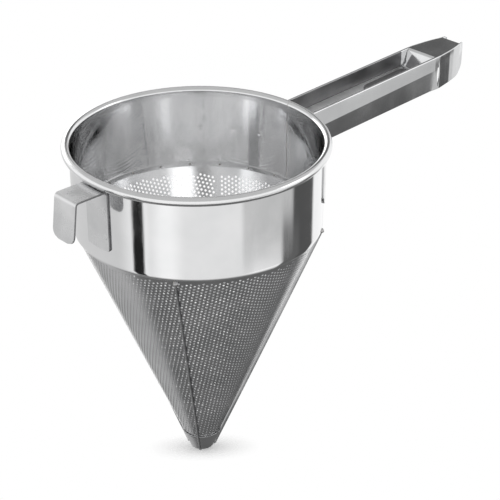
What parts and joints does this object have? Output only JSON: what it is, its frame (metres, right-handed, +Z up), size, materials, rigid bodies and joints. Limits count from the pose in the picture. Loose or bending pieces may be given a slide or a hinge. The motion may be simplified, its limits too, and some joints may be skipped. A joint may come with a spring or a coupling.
{
  "type": "conical strainer",
  "caption": "Conical kitchen strainer: rolled-rim band, perforated cone, guard straps on edge, solid tip, long channel handle and pot hook.",
  "frame": {"origin": "centre of the rim, on the strainer's axis, level with the top of the rolled bead", "axes": "+X along the handle, -X through the pot hook, +Z up out of the mouth, so the cone points to -Z"},
  "size_m": [0.4307, 0.2056, 0.2899],
  "materials": {
    "polished_steel": "polished stainless steel",
    "screen_steel": "satin perforated stainless steel",
    "weld_metal": "dull weld metal"
  },
  "bodies": {
    "root": {"band": "polished_steel", "band_seam": "weld_metal", "cone_screen": "screen_steel", "cone_seam": "weld_metal", "cone_welds": "weld_metal", "tip_cap": "polished_steel", "guard_strap_a": "polished_steel", "guard_strap_b": "polished_steel", "strap_welds": "weld_metal", "handle": "polished_steel", "handle_welds": "weld_metal", "hook": "polished_steel", "hook_welds": "weld_metal"}
  },
  "joints": []
}
